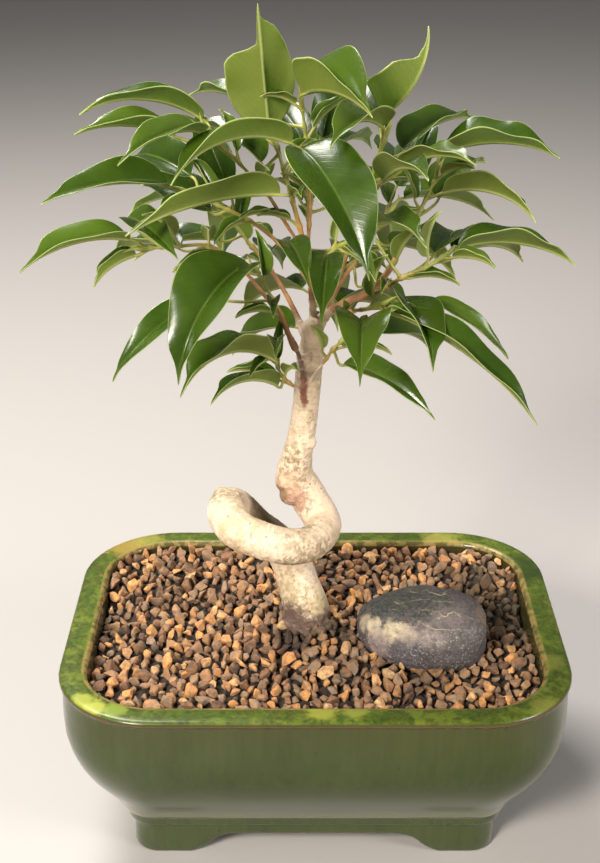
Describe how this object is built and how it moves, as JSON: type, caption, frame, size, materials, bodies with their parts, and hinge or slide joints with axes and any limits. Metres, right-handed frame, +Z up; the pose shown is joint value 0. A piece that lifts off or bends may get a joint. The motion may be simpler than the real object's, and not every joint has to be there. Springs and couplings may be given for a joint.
{
  "type": "potted bonsai tree",
  "caption": "Small evergreen bonsai with one full coil in its pale trunk and glossy folded leaves, in a footed rectangular glazed pot topped with gravel and a river stone.",
  "frame": {"origin": "on the surface that the pot stands on, under the middle of the pot", "axes": "+Z up, +X to the viewer's right from the front, so that -Y is the front"},
  "size_m": [0.152, 0.1143, 0.2496],
  "materials": {
    "glaze": "gloss",
    "screen": "matte",
    "soil": "matte",
    "gravel": "matte",
    "stone": "satin",
    "bark": "matte",
    "leaf": "gloss"
  },
  "bodies": {
    "root": {"pot": "glaze", "drain_screen_left": "screen", "drain_screen_right": "screen", "soil": "soil", "gravel": "gravel", "stone": "stone", "trunk": "bark", "spray_right_high": "leaf", "spray_right_mid": "leaf", "spray_right_low": "leaf", "spray_top_front": "leaf", "spray_top_mid": "leaf", "spray_top_right": "leaf", "spray_left_front": "leaf", "spray_left_low": "leaf", "spray_left_mid": "leaf", "spray_left_high": "leaf", "spray_left_back": "leaf", "spray_front_right": "leaf", "spray_front_mid": "leaf", "spray_back_right": "leaf", "spray_back_left": "leaf", "spray_back_low": "leaf", "spray_back_high": "leaf"}
  },
  "joints": []
}
